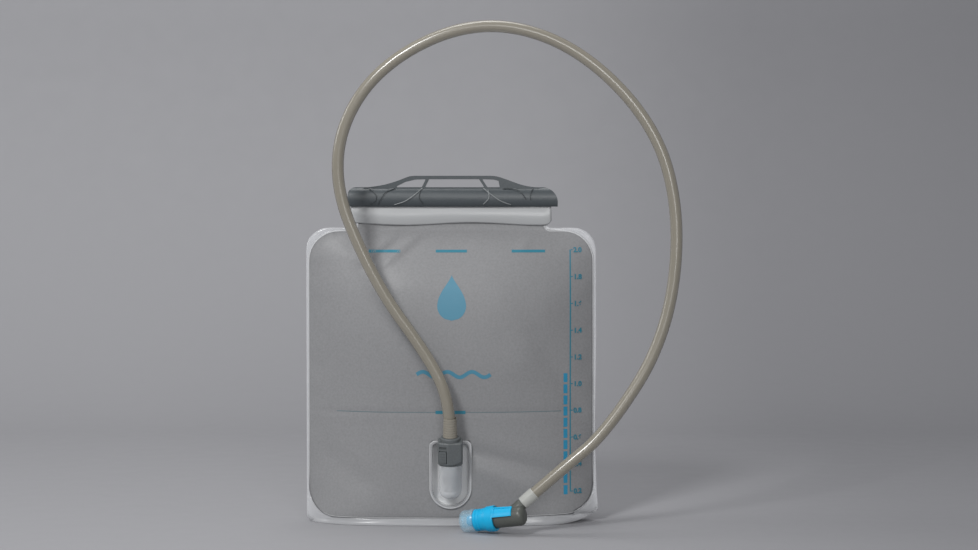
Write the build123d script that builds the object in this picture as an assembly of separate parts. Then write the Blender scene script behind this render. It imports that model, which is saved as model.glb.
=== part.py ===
"""Two-litre hydration bladder: film bag, slide clamp, quick-release port, drink hose and bite valve.

Millimetres. +Z is up, +X is to the right seen from the front and the front faces -Y. The bag stands
on its foot at z = 0. Every shape is drawn with the bag's weld seam at y = 0 and is moved back by
SEAM_Y when it is written, so the origin is the bottom centre of the object without its hose.
"""
from build123d import *
import math
import os

os.makedirs("parts", exist_ok=True)

# ---- bag
SEAM_Y = 9.93              # weld seam behind the origin
FILM = 0.8                 # laminated film
WELD_GAP = 0.12            # between the two panels along the seam
HALF_W = 117.5             # half width over the clear weld flange
FULL_W = 115.1             # half width of the inflated part
SHOULDER_Z = 235.6
SHOULDER_R = 24.0
NECK_W = 151.5
NECK_FILLET = 6.0
PANEL_TOP = 244.0
FOOT_R = 6.0
RIDGE = [(0, 24), (12, 26), (46, 26), (80, 26), (140, 29), (185, 26), (214, 15), (236, 1.0), (240, 0.1), (256, 0)]
GUSSET_Z = 7.0
GUSSET_HALF = 109.0
GUSSET_GAP = 0.6

# ---- mouth bands and slide clamp
BAND_W = 162.2
BAND_Z = 241.0
BAND_T = 1.2
BAND_BACK = 1.15           # band's inner face from the seam
BEAD_Z = 259.5
BEAD_TOP = 266.0
BEAD_FRONT = 3.0
CLAMP_X0 = -83.3
CLAMP_X1 = 86.3
CLAMP_Z0 = 255.4
CLAMP_Z1 = 271.1
CLAMP_HALF_D = 6.8
CLAMP_CLEAR = 0.4
LIP_T = 2.0
END_WALL = 3.0
ARCH_TOP = 280.3
ARCH_HALF_D = 3.7
ARCH_BAR = 2.8
ARCH_FLAT = 30.0
RIB_W = 1.4
RIB_RISE = 0.5
RIB_ROOT = 4.0
RIBS = [
    [(-24.5, 270.4), (-31.8, 264.1), (-39.3, 259.3), (-47.3, 256.9)],
    [(-26.2, 268.6), (-26.8, 262.3), (-23.5, 257.2)],
    [(-46.5, 270.0), (-53.8, 267.1), (-57.4, 262.3), (-60.2, 257.4)],
    [(-67.1, 269.5), (-61.9, 264.7), (-62.3, 259.8), (-66.7, 256.9)],
    [(24.5, 270.4), (31.6, 264.7), (39.0, 259.8), (47.0, 256.9)],
    [(28.5, 268.8), (29.1, 262.3), (24.6, 257.2)],
    [(40.6, 270.0), (50.3, 269.3), (55.9, 265.9), (59.1, 261.4)],
    [(64.8, 270.0), (62.9, 265.9), (62.9, 261.0)],
]

# ---- port
TRAY_HALF = 17.0
TRAY_Z0 = 13.6
TRAY_Z1 = 68.6
TRAY_RIM = 1.0
TRAY_BACK = 27.35          # rim's back face from the seam
TRAY_FLOOR = 17.0          # tray's rear face from the seam
TRAY_WALL = 1.0
PORT_TILT = 12.0
PORT_Y = -35.5
PORT_Z = 45.0
CUP_R = 9.1
CUP_TOP = 6.2
CUP_BOTTOM = -23.0
ENTRY_R = 7.4
SEAL_BORE = 6.4
SPIGOT_Z = -16.3
SPIGOT_R = 3.6
SPIGOT_BORE = 2.3

# ---- hose connector
HOUSING_W = 19.8
HOUSING_D = 18.7
HOUSING_Z0 = 6.5
HOUSING_Z1 = 25.8
STEM_R = 5.6
STEM_BORE = 2.2
RING_AT = (-5.5, -8.5)
FACET_X = -1.4
FACET_DEPTH = 2.6
FACET_TURN = math.degrees(math.atan2(FACET_DEPTH, FACET_X + HOUSING_W / 2))
BUTTON_W = 5.8
BUTTON_H = 9.6
BUTTON_Z = 14.2
BUTTON_DEEP = 2.9
SLOT_Z = 21.6

# ---- hose and valve
HOSE_OD = 9.5
HOSE_ID = 6.3
HOSE_START = 28.8          # above the port's centre, along its axis
VALVE_TILT = 8.5
VALVE_YAW = 20.5           # the elbow's end points this far toward the front
RISER_TILT = 41.5
VALVE_ORIGIN = (9.15, -58.6, 8.14)
JOINT_S = 38.8             # riser's root along the valve axis
RISER_R = 4.9
RISER_END = 16.0
SLEEVE_LENGTH = 12.4
BARREL_R = 7.8
BARREL_END = 53.8
TAB_END = 45.0
TAB_FROM = 22              # degrees round the axis from the top toward the front
TAB_TO = 79
ARC_SHARE = 0.45

# Hose corners from the connector to the riser, in the frame that is written. The first and the
# last are on the barbs.
HOSE_POINTS = [
    (0.0, -31.56, 73.17),
    (0.0, -37.64, 101.8),
    (-17.0, -36.7, 137.0),
    (-60.0, -38.2, 196.0),
    (-96.0, -38.7, 284.0),
    (-67.0, -40.2, 358.0),
    (13.0, -41.2, 402.0),
    (92.0, -43.2, 387.0),
    (160.0, -46.2, 322.0),
    (181.0, -49.2, 245.0),
    (169.0, -54.0, 152.0),
    (121.7, -59.6, 78.9),
    (87.04, -62.11, 50.98),
    (57.08, -62.11, 24.48),
]

cord_radii = {}
ON_END = (Align.CENTER, Align.CENTER, Align.MIN)


def ridge(z):
    """Half depth of the filled bag on its centre line, a smooth curve through RIDGE."""
    if z <= RIDGE[0][0]:
        return RIDGE[0][1]
    if z >= RIDGE[-1][0]:
        return RIDGE[-1][1]
    last = len(RIDGE) - 1
    i = max(k for k in range(last) if RIDGE[k][0] <= z)
    (z0, y0), (z1, y1) = RIDGE[i], RIDGE[i + 1]
    before, after = RIDGE[max(i - 1, 0)], RIDGE[min(i + 2, last)]
    slope0 = (y1 - before[1]) / (z1 - before[0])
    slope1 = (after[1] - y0) / (after[0] - z0)
    t = (z - z0) / (z1 - z0)
    span = z1 - z0
    return (
        (2 * t**3 - 3 * t**2 + 1) * y0
        + (t**3 - 2 * t**2 + t) * span * slope0
        + (3 * t**2 - 2 * t**3) * y1
        + (t**3 - t**2) * span * slope1
    )


def bulge(x, z):
    """Distance of a filled panel from the seam."""
    rise = min(max(z - (SHOULDER_Z - SHOULDER_R), 0), SHOULDER_R)
    width = FULL_W - SHOULDER_R + math.sqrt(SHOULDER_R**2 - rise**2)
    power = 2.6 + 5 * math.exp(-max(z, 0) / 25)
    return max(ridge(z), 0) * (1 - min(abs(x) / width, 1) ** power)


def slab(sketch, y0, y1):
    """A sketch in X and Z, given depth from y0 to y1."""
    return Pos(0, y1, 0) * extrude(Plane.XZ * sketch, amount=y1 - y0)


def turned(points):
    """A solid of revolution about Z from (radius, z) corners."""
    return revolve(Plane.XZ * make_face(Polyline(*points, close=True)), Axis.Z)


def ring(major, minor, z):
    """An O-ring about Z."""
    return Pos(0, 0, z) * Torus(major, minor)


def tilted(degrees, yaw=0):
    """Unit vector this far above the horizontal and turned this far from +X toward the front."""
    up = math.radians(degrees)
    turn = math.radians(yaw)
    return Vector(math.cos(up) * math.cos(turn), -math.cos(up) * math.sin(turn), math.sin(up))


def bag_outline(top):
    """The bag's flat outline in X and Z up to this height of the neck."""
    half_neck = NECK_W / 2
    corners = [
        (-HALF_W, 0), (HALF_W, 0), (HALF_W, SHOULDER_Z), (half_neck, SHOULDER_Z),
        (half_neck, top), (-half_neck, top), (-half_neck, SHOULDER_Z), (-HALF_W, SHOULDER_Z),
    ]
    flat = make_face(Polyline(*corners, close=True))
    low = [v for v in flat.vertices() if v.Y < 1]
    flat = fillet(low, FOOT_R)
    outer = [v for v in flat.vertices() if abs(v.Y - SHOULDER_Z) < 1 and abs(v.X) > half_neck + 1]
    flat = fillet(outer, SHOULDER_R)
    inner = [v for v in flat.vertices() if abs(v.Y - SHOULDER_Z) < 1 and abs(abs(v.X) - half_neck) < 1]
    return fillet(inner, NECK_FILLET)


def filled_side(side, film, depth):
    """A block whose face is a filled panel's, this much outside its inner face."""
    columns = 41
    rows = 46
    reach = HALF_W + 2
    heights = [-3 + (PANEL_TOP + 6) * j / (rows - 1) for j in range(rows)]
    grid = []
    for i in range(columns):
        x = -reach + 2 * reach * i / (columns - 1)
        grid.append([Vector(x, side * (bulge(x, z) + WELD_GAP + film), z) for z in heights])
    face = Face.make_surface_from_array_of_points(grid, tol=0.1, min_deg=3, max_deg=3)
    return extrude(face, amount=depth, dir=(0, -side, 0))


def panel(side):
    """One film panel; side is -1 for the front."""
    shell = filled_side(side, FILM, 60) - filled_side(side, 0, 80)
    return shell & slab(bag_outline(PANEL_TOP), -60, 60)


def tombstone(shrink):
    """The port's window: flat top, round bottom, this much smaller all round."""
    half = TRAY_HALF - shrink
    centre_z = TRAY_Z0 + TRAY_HALF
    top = TRAY_Z1 - shrink
    shape = Pos(0, (centre_z + top) / 2) * Rectangle(2 * half, top - centre_z)
    shape = fillet([v for v in shape.vertices() if v.Y > centre_z + 1], 5 - shrink / 2)
    return shape + Pos(0, centre_z) * Circle(half)


def gusset():
    """The floor that keeps the bag's foot open."""
    count = 33
    xs = [-GUSSET_HALF + 2 * GUSSET_HALF * i / (count - 1) for i in range(count)]
    front = [(x, -(bulge(x, GUSSET_Z) + WELD_GAP - GUSSET_GAP)) for x in xs]
    back = [(x, -y) for x, y in front]
    edges = [Spline(*front), Line(front[-1], back[-1]), Spline(*back), Line(front[0], back[0])]
    return Pos(0, 0, GUSSET_Z) * extrude(make_face(Wire(edges)), amount=FILM)


def mouth_band(side):
    """A stiff strip along the mouth with the bead that the clamp holds."""
    profile = [
        (BAND_BACK, BAND_Z), (BAND_BACK + BAND_T, BAND_Z), (BAND_BACK + BAND_T, BEAD_Z),
        (BEAD_FRONT, BEAD_Z), (BEAD_FRONT, BEAD_TOP - 1), (BEAD_FRONT - 1, BEAD_TOP),
        (0.1, BEAD_TOP), (0.1, BEAD_Z), (BAND_BACK, BEAD_Z),
    ]
    points = [(side * y, z) for y, z in profile]
    strip = extrude(Plane.YZ * make_face(Polyline(*points, close=True)), amount=BAND_W / 2, both=True)
    lower = [e for e in strip.edges().filter_by(Axis.Y) if e.center().Z < BAND_Z + 0.1]
    return fillet(lower, 4.0)


def grip_arch(middle):
    """The arched strap above the clamp, with its three windows, drawn from left to right."""
    half = ARCH_FLAT
    rise = [(-72, CLAMP_Z1 - 0.4), (-54, 273.4), (-40, 278.0), (-half, ARCH_TOP)]
    fall = [(half, ARCH_TOP), (41, 278.2), (55, 273.2), (70, CLAMP_Z1 - 0.4)]
    left_foot, right_foot = (-72, CLAMP_Z0 + 5), (70, CLAMP_Z0 + 5)
    edges = [
        Spline(*rise, tangents=[(1, 0.1), (1, 0)]), Line(rise[-1], fall[0]),
        Spline(*fall, tangents=[(1, 0), (1, -0.1)]), Line(fall[-1], right_foot),
        Line(right_foot, left_foot), Line(left_foot, rise[0]),
    ]
    strap = make_face(Wire(edges))
    under = ARCH_TOP - ARCH_BAR
    low = CLAMP_Z1
    centre = [(-22.4, low), (25.4, low), (21.2, under), (-19.2, under)]
    left = [(-47, low), (-25.0, low), (-21.8, under), (-30.5, under - 0.3), (-38.5, under - 2.2)]
    right = [(28.0, low), (38.0, low), (37.0, under - 1.3), (33.0, under - 0.3), (23.8, under)]
    for corners in (centre, left, right):
        hole = make_face(Polyline(*corners, close=True))
        strap -= fillet(hole.vertices(), 0.5)
    return Pos(middle, 0, 0) * slab(strap, -ARCH_HALF_D, ARCH_HALF_D)


def clamp_body(grow):
    """The clamp's tubular body, this much thicker all round."""
    bulging = [
        (4.4 + grow, CLAMP_Z0), (6.3 + grow, CLAMP_Z0 + 2.8), (CLAMP_HALF_D + grow, CLAMP_Z0 + 6.4),
        (5.9 + 0.95 * grow, CLAMP_Z0 + 11.2 + 0.3 * grow), (3.4 + 0.6 * grow, CLAMP_Z1 - 1.1 + 0.8 * grow),
        (0, CLAMP_Z1 + grow),
    ]
    mirrored = [(-y, z) for y, z in reversed(bulging)]
    edges = [Spline(*bulging), Spline(*mirrored), Line(mirrored[-1], bulging[0])]
    section = make_face(Wire(edges))
    return Pos(CLAMP_X0, 0, 0) * extrude(Plane.YZ * section, amount=CLAMP_X1 - CLAMP_X0)


def slide_clamp():
    """Channel with one open end, carried by an arched grip."""
    middle = (CLAMP_X0 + CLAMP_X1) / 2
    half = (CLAMP_X1 - CLAMP_X0) / 2
    outline = Pos(middle, (CLAMP_Z0 + CLAMP_Z1) / 2) * Rectangle(2 * half, CLAMP_Z1 - CLAMP_Z0)
    upper = [v for v in outline.vertices() if v.Y > CLAMP_Z1 - 0.1]
    outline = fillet([v for v in upper if v.X > middle], 12.5)
    outline = fillet([v for v in outline.vertices() if v.Y > CLAMP_Z1 - 0.1 and v.X < middle - half + 1], 6.5)
    clamp = (clamp_body(0) & slab(outline, -10, 10)) + grip_arch(middle)
    wide = BEAD_FRONT + CLAMP_CLEAR
    narrow = BAND_BACK + BAND_T + CLAMP_CLEAR
    lip = CLAMP_Z0 + LIP_T
    roof = BEAD_TOP + CLAMP_CLEAR + 0.6
    tee = [
        (-narrow, CLAMP_Z0 - 1), (narrow, CLAMP_Z0 - 1), (narrow, lip), (wide, lip),
        (wide, roof), (-wide, roof), (-wide, lip), (-narrow, lip),
    ]
    channel = extrude(Plane.YZ * make_face(Polyline(*tee, close=True)), amount=2 * half - END_WALL + 1)
    clamp -= Pos(CLAMP_X0 - 1, 0, 0) * channel
    skin = clamp_body(RIB_RISE)
    for curve in RIBS:
        rib = trace(Spline(*[(middle + x, z) for x, z in curve]), line_width=RIB_W)
        for side in (-1, 1):
            near, far = sorted((side * RIB_ROOT, side * 10))
            clamp += slab(rib, near, far) & skin
    return clamp


def port_tray():
    """Clear tray welded into the front panel's window."""
    rim = slab(tombstone(0) - tombstone(TRAY_RIM), -(TRAY_BACK + TRAY_RIM), -TRAY_BACK)
    wall_out = TRAY_RIM + 0.2
    wall = slab(tombstone(wall_out) - tombstone(wall_out + TRAY_WALL), -(TRAY_BACK + TRAY_RIM), -TRAY_FLOOR)
    bridge = slab(tombstone(TRAY_RIM - 0.1) - tombstone(wall_out + TRAY_WALL), -(TRAY_BACK + TRAY_RIM), -TRAY_BACK)
    floor = slab(tombstone(wall_out), -(TRAY_FLOOR + 1.5), -TRAY_FLOOR)
    tray = rim + wall + bridge + floor
    saddle = Pos(0, -(TRAY_FLOOR + 1.4), 26.0) * Box(9, 4.0, 1.6, align=(Align.CENTER, Align.MAX, Align.CENTER))
    tray += saddle
    hole = port_frame * Pos(0, 0, SPIGOT_Z) * Rot(-90, 0, 0) * Cylinder(SPIGOT_R + 0.1, 60, align=ON_END)
    return tray - hole


def port_cup():
    """Socket with a domed foot, a sealing bore and a valve chamber that opens backwards."""
    lip_z0, lip_z1 = -12.9, -11.4
    outer = [(0, CUP_BOTTOM), (0, CUP_TOP), (CUP_R, CUP_TOP), (CUP_R, CUP_BOTTOM)]
    body = turned(outer)
    body = fillet([e for e in body.edges() if e.center().Z < CUP_BOTTOM + 0.1], 8.0)
    bore = [
        (0, -19.5), (6.4, -19.5), (6.4, lip_z0), (4.0, lip_z0), (4.0, lip_z1), (SEAL_BORE, lip_z1),
        (SEAL_BORE, -3.6), (ENTRY_R, -2.6), (ENTRY_R, CUP_TOP + 1), (0, CUP_TOP + 1),
    ]
    reach = 10.6
    spigot = Pos(0, 5.5, SPIGOT_Z) * Rot(-90, 0, 0) * Cylinder(
        SPIGOT_R, reach, align=ON_END
    )
    passage = Pos(0, 0, SPIGOT_Z) * Rot(-90, 0, 0) * Cylinder(
        SPIGOT_BORE, reach + 10, align=ON_END
    )
    return body + spigot - turned(bore) - passage


def poppet():
    """Valve head with the pin that the nozzle pushes."""
    profile = [(0, -18.0), (5.4, -18.0), (5.4, -16.2), (1.5, -16.2), (1.5, -11.1), (0, -11.1)]
    return turned(profile) - ring(4.3, 0.62, -16.1)


def connector_stem():
    """Nozzle, bayonet collar, top flange and hose barb in one turned part."""
    profile = [(STEM_BORE, -10.6), (5.0, -10.6), (STEM_R, -10.0)]
    for z in sorted(RING_AT):
        profile += [(STEM_R, z - 0.85), (4.6, z - 0.85), (4.6, z + 0.85), (STEM_R, z + 0.85)]
    profile += [(STEM_R, 2.0), (7.0, 2.0), (7.0, 6.3), (STEM_R, 6.3), (STEM_R, HOUSING_Z1 + 0.1)]
    profile += [(7.9, HOUSING_Z1 + 0.1), (7.9, HOSE_START - 0.9), (7.1, HOSE_START - 0.1)]
    profile += barb(HOSE_START - 0.1, 15)
    profile += [(STEM_BORE, HOSE_START + 15)]
    return turned(profile)


def barb(start, length):
    """Profile corners of a three-tooth hose barb."""
    corners = [(2.7, start)]
    pitch = length / 3
    for tooth in range(3):
        base = start + tooth * pitch
        corners += [(2.7, base + 0.4 * pitch), (HOSE_ID / 2 - 0.05, base + 0.4 * pitch), (2.75, base + 0.98 * pitch)]
    return corners


def connector_housing():
    """Faceted block that carries the release button on its left facet."""
    height = HOUSING_Z1 - HOUSING_Z0
    half = HOUSING_W / 2
    back = HOUSING_D / 2
    corners = [
        (-half, -back + FACET_DEPTH), (FACET_X, -back), (half, -back + 1.6), (half, back - 3), (half - 3, back),
        (3 - half, back), (-half, back - 3),
    ]
    plan = make_face(Polyline(*corners, close=True))
    plan = fillet([v for v in plan.vertices() if abs(v.X) > half - 0.1 and v.Y < 0], 2.2)
    block = Pos(0, 0, HOUSING_Z0) * extrude(plan, amount=height)
    top = [e for e in block.edges() if e.center().Z > HOUSING_Z1 - 0.1]
    block = fillet(top, 1.2)
    bottom = [e for e in block.edges() if e.center().Z < HOUSING_Z0 + 0.1]
    block = chamfer(bottom, 1.6)
    bore = Cylinder(STEM_R + 0.1, height + 2, align=ON_END)
    block -= Pos(0, 0, HOUSING_Z0 - 1) * bore
    pocket = Box(BUTTON_W + 0.7, 6.0, BUTTON_H + 0.7)
    block -= facet_place(BUTTON_Z) * Pos(0, BUTTON_DEEP - 3.0, 0) * pocket
    block -= facet_place(SLOT_Z) * Box(BUTTON_W, 2.6, 2.0)
    return block - Pos(half - 1.8, -back, HOUSING_Z0 + 1.5) * Rot(0, -25, 0) * Box(9.0, 7.0, 4.0)


def facet_place(z):
    """The middle of the housing's left facet at this height, with Y into the block."""
    x = (FACET_X - HOUSING_W / 2) / 2
    return Pos(x, -HOUSING_D / 2 + FACET_DEPTH / 2, z) * Rot(0, 0, -FACET_TURN)


def release_button():
    """Push pad with grip ribs."""
    pad = Pos(0, 0.25, 0) * Box(BUTTON_W, 1.9, BUTTON_H)
    pad = fillet(pad.edges().filter_by(Axis.Y), 1.0)
    for i in range(4):
        pad += Pos(0, -0.75, -3.3 + 2.2 * i) * Box(BUTTON_W - 1.6, 0.6, 0.9)
    return facet_place(BUTTON_Z) * pad


def hose_cuff():
    """Ribbed strain relief round the hose's foot."""
    ribs = 8
    start = HOSE_START + 0.1
    length = 15.6
    bore = HOSE_OD / 2 + 0.1
    profile = [(bore, start)]
    pitch = length / ribs
    for i in range(ribs):
        crest = 5.75 - 0.07 * i
        base = start + i * pitch
        profile += [(crest, base), (crest, base + 0.6 * pitch), (crest - 0.35, base + 0.7 * pitch), (crest - 0.35, base + 0.95 * pitch)]
    profile += [(5.1, start + length), (bore, start + length)]
    return turned(profile)


def drink_hose():
    """Hollow hose along straight runs joined by tangent arcs."""
    points = [Vector(*p) - Vector(0, SEAM_Y, 0) for p in HOSE_POINTS]
    radii = []
    for a, b, c in zip(points, points[1:], points[2:]):
        turn = math.radians((b - a).get_angle(c - b))
        radii.append(ARC_SHARE * min((b - a).length, (c - b).length) / math.tan(turn / 2))
    path = FilletPolyline(*points, radius=radii)
    start = Plane(origin=points[0], z_dir=(points[1] - points[0]).normalized())
    section = start * (Circle(HOSE_OD / 2) - Circle(HOSE_ID / 2))
    hose = sweep(section, path=path)
    area = math.pi * (HOSE_OD**2 - HOSE_ID**2) / 4
    share = hose.volume / (area * path.length)
    print("hose length", round(path.length, 1), "volume over section x length", round(share, 4))
    print("least bend radius", round(min(radii), 1), "runs", [round((b - a).length, 1) for a, b in zip(points, points[1:])])
    cord_radii["drink_tube"] = (HOSE_OD / 2, HOSE_ID / 2)
    return hose


def valve_elbow():
    """Barrel with a blunt end and the riser that the hose is pushed on."""
    barrel = turned([
        (0, 19.9), (7.4, 19.9), (7.4, 21.75), (6.5, 21.75), (6.5, 23.45), (7.4, 23.45), (7.4, 29.6),
        (BARREL_R, 30.1), (BARREL_R, BARREL_END), (0, BARREL_END),
    ])
    barrel = fillet([e for e in barrel.edges() if e.center().Z > BARREL_END - 0.1], 4.5)
    barb_start = RISER_END - 0.1
    riser = turned(
        [(0, 0), (RISER_R, 0), (RISER_R, RISER_END - 2.0), (RISER_R - 0.6, barb_start)]
        + barb(barb_start, 11) + [(0, barb_start + 11)]
    )
    body = valve_frame * barrel + riser_frame * riser
    chamber = [(0, 19), (5.3, 19), (5.3, 34.0), (2.0, 37.5), (2.0, JOINT_S + 1), (0, JOINT_S + 1)]
    return body - valve_frame * turned(chamber) - riser_frame * Cylinder(2.0, 60, align=ON_END)


def twist_collar():
    """Shut-off collar: a ringed grip, a flared skirt and a finger tab that reaches along the barrel."""
    body = turned([
        (7.1, 12.3), (8.3, 12.3), (8.6, 12.7), (8.6, 14.3), (8.2, 14.7), (8.2, 15.3), (8.6, 15.7), (8.6, 17.1),
        (8.3, 17.4), (8.3, 18.0), (8.7, 18.4), (8.9, 20.2), (9.9, 23.0), (10.2, 28.5), (9.8, 29.3),
        (8.1, 29.3), (8.1, 19.6), (6.2, 19.6), (6.2, 18.1), (7.1, 18.1),
    ])
    bar = turned([(8.1, 28.5), (9.8, 28.5), (9.1, TAB_END - 0.5), (8.7, TAB_END), (8.1, TAB_END)])
    panel = turned([(9.3, 30.5), (12, 30.5), (12, TAB_END - 1.6), (8.8, TAB_END - 1.6)])
    tab = bar & sector(TAB_FROM, TAB_TO)
    return body + (tab - (panel & sector(TAB_FROM + 11, TAB_TO - 8)))


def sector(start, end):
    """A wedge along the valve axis between two angles from the top toward the front."""
    reach = 30
    angles = [start + (end - start) * i / 3 for i in range(4)]
    rim = [(reach * math.cos(math.radians(a)), reach * math.sin(math.radians(a))) for a in angles]
    return extrude(make_face(Polyline((0, 0), *rim, close=True)), amount=BARREL_END)


def shutoff_core():
    """Hollow plug that turns with the collar."""
    core = turned([
        (2.2, 6.0), (4.0, 6.0), (4.6, 9.0), (4.6, 16.4), (6.9, 16.4), (6.9, 18.0), (4.9, 18.0),
        (4.9, 31.2), (2.2, 31.2),
    ])
    return core - Pos(5, 0, 27) * Box(6, 3, 4)


def bite_mouthpiece():
    """Soft mouthpiece with ringed sides and a slit in its face."""
    body = turned([
        (0, 0), (4.5, 0.2), (7.0, 0.8), (8.2, 1.8), (8.7, 3.2), (8.7, 4.4), (8.4, 5.2), (8.8, 6.2), (8.8, 7.2),
        (8.5, 8.0), (9.2, 9.4), (9.4, 10.8), (9.1, 12.1), (7.0, 12.1), (7.0, 16.3), (5.6, 16.3), (5.6, 2.8),
        (4.6, 1.9), (0, 1.7),
    ])
    return body - Box(9.0, 0.5, 8)


port_frame = Plane(
    origin=(0, PORT_Y, PORT_Z),
    x_dir=(1, 0, 0),
    z_dir=(0, -math.sin(math.radians(PORT_TILT)), math.cos(math.radians(PORT_TILT))),
).location
valve_axis = tilted(VALVE_TILT, VALVE_YAW)
valve_frame = Plane(origin=VALVE_ORIGIN, x_dir=tilted(VALVE_TILT + 90, VALVE_YAW), z_dir=valve_axis).location
riser_root = Vector(*VALVE_ORIGIN) + valve_axis * JOINT_S
riser_frame = Plane(origin=riser_root, x_dir=(0, -1, 0), z_dir=tilted(RISER_TILT)).location

print("hose starts at", port_frame.position + Vector(0, SEAM_Y, 0) + port_frame.z_axis.direction * HOSE_START)
print("hose ends at", riser_root + Vector(0, SEAM_Y, 0) + tilted(RISER_TILT) * RISER_END)

window = slab(tombstone(TRAY_RIM), -60, 0)
seals = Compound([ring(5.35, 0.7, z).solid() for z in RING_AT])
sleeve_end = RISER_END + SLEEVE_LENGTH
sleeve = turned([
    (4.85, RISER_END + 0.1), (5.2, RISER_END + 0.1), (5.5, RISER_END + 0.5), (5.5, sleeve_end - 0.6),
    (5.15, sleeve_end), (4.85, sleeve_end),
])

nodes = {
    "front_panel": panel(-1) - window,
    "back_panel": panel(1),
    "bottom_gusset": gusset(),
    "front_mouth_band": mouth_band(-1),
    "back_mouth_band": mouth_band(1),
    "slide_clamp": slide_clamp(),
    "port_tray": port_tray(),
    "port_cup": port_frame * port_cup(),
    "poppet": port_frame * poppet(),
    "poppet_seal": port_frame * ring(4.3, 0.6, -16.1),
    "connector_stem": port_frame * connector_stem(),
    "nozzle_o_rings": port_frame * seals,
    "connector_housing": port_frame * connector_housing(),
    "release_button": port_frame * release_button(),
    "hose_cuff": port_frame * hose_cuff(),
    "drink_tube": drink_hose(),
    "tube_sleeve": riser_frame * sleeve,
    "valve_elbow": valve_elbow(),
    "barrel_o_ring": valve_frame * ring(7.15, 0.6, 22.6),
    "twist_collar": valve_frame * twist_collar(),
    "shutoff_core": valve_frame * shutoff_core(),
    "bite_mouthpiece": valve_frame * bite_mouthpiece(),
}

for name, shape in nodes.items():
    export_step(Pos(0, SEAM_Y, 0) * shape, f"parts/{name}.step")

for name, (outer, inner) in cord_radii.items():
    print("cord", name, "outer radius", outer, "bore radius", inner)
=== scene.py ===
"""Hydration bladder: film bag, drink hose, prints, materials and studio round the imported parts."""
import math

import bpy
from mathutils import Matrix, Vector
from mathutils.bvhtree import BVHTree


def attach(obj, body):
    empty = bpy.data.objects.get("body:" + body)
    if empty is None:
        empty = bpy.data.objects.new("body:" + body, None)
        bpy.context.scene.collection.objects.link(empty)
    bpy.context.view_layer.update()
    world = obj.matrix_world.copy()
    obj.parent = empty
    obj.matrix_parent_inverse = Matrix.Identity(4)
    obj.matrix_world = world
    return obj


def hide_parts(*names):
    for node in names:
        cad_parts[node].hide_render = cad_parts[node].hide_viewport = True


MM = 0.001
SEAM = 9.93                # weld seam's y, mm
FULL_W = 115.1             # half width of the filled bag
FLANGE_W = 117.3           # half width over the clear flange
SHOULDER_Z = 235.6
SHOULDER_R = 24.0
NECK_HALF = 75.7
BAG_TOP = 243.5
FILM = 0.8
RIDGE = [                  # height and half depth of the filled bag on its centre line
    (0, 24), (12, 26), (46, 26), (80, 26), (140, 29), (185, 26), (214, 15), (236, 1.0), (240, 0.1), (256, 0),
]
WINDOW_HALF = 17.0         # the port's window in the front panel
WINDOW_LOW = 30.6          # centre height of its round foot
WINDOW_TOP = 68.6
WINDOW_SHRINK = 0.5        # how far the film reaches in past the window's edge
HOSE_OD = 9.5
HOSE_ID = 6.3
GUSSET_HALF = 109.0
GUSSET_Z = 7.0
BAND_X0 = -81.0            # mouth band's left end, its length, lower edge and top
BAND_LENGTH = 162.2
BAND_LOW = 241.6
BAND_TOP = 258.6
RIM_HALF = 16.3            # painted highlight line round the port tray's rim, and its round foot's centre height
RIM_LOW = 30.6
RIM_HIGH = 60.0
RIM_RISE = 7.8
SCALE_Z = 26.2             # lowest mark of the printed scale, and the step between marks
SCALE_STEP = 21.6
HOSE_POINTS = [
    (0.0, -31.56, 73.17), (0.0, -37.64, 101.8), (-17.0, -36.7, 137.0), (-60.0, -38.2, 196.0),
    (-96.0, -38.7, 284.0), (-67.0, -40.2, 358.0), (13.0, -41.2, 402.0), (92.0, -43.2, 387.0),
    (160.0, -46.2, 322.0), (181.0, -49.2, 245.0), (169.0, -54.0, 152.0), (121.7, -59.6, 78.9),
    (87.04, -62.11, 50.98), (57.08, -62.11, 24.48),
]
CLAMP_MID = 1.5
RIBS = [                   # each rib's line from the clamp's middle, and whether it gets the painted highlight or the painted shade
    ([(-24.5, 270.4), (-31.8, 264.1), (-39.3, 259.3), (-47.3, 256.9)], True),
    ([(-26.2, 268.6), (-26.8, 262.3), (-23.5, 257.2)], False),
    ([(-46.5, 270.0), (-53.8, 267.1), (-57.4, 262.3), (-60.2, 257.4)], False),
    ([(-67.1, 269.5), (-61.9, 264.7), (-62.3, 259.8), (-66.7, 256.9)], False),
    ([(24.5, 270.4), (31.6, 264.7), (39.0, 259.8), (47.0, 256.9)], True),
    ([(28.5, 268.8), (29.1, 262.3), (24.6, 257.2)], True),
    ([(40.6, 270.0), (50.3, 269.3), (55.9, 265.9), (59.1, 261.4)], False),
    ([(64.8, 270.0), (62.9, 265.9), (62.9, 261.0)], False),
]

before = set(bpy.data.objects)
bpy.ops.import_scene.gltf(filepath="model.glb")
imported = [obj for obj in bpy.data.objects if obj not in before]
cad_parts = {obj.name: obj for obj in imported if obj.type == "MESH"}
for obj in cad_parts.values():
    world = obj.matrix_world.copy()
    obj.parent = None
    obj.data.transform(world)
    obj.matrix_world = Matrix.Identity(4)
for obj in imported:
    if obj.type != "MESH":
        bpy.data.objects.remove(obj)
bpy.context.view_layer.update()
scene = bpy.context.scene


# ---- camera

camera_data = bpy.data.cameras.new("camera")
camera_data.sensor_width = 36.0
camera_data.lens = 74.5
camera = bpy.data.objects.new("camera", camera_data)
scene.collection.objects.link(camera)
camera.location = (0.0308, SEAM * MM - 1.640, 0.2558)
camera.rotation_euler = (math.radians(90 - 1.95), 0, 0)
scene.camera = camera


# ---- helpers

def link(name, mesh, look=None):
    """A new object in the scene, with its material."""
    obj = bpy.data.objects.new(name, mesh)
    scene.collection.objects.link(obj)
    if look:
        mesh.materials.append(look)
    return obj


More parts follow.
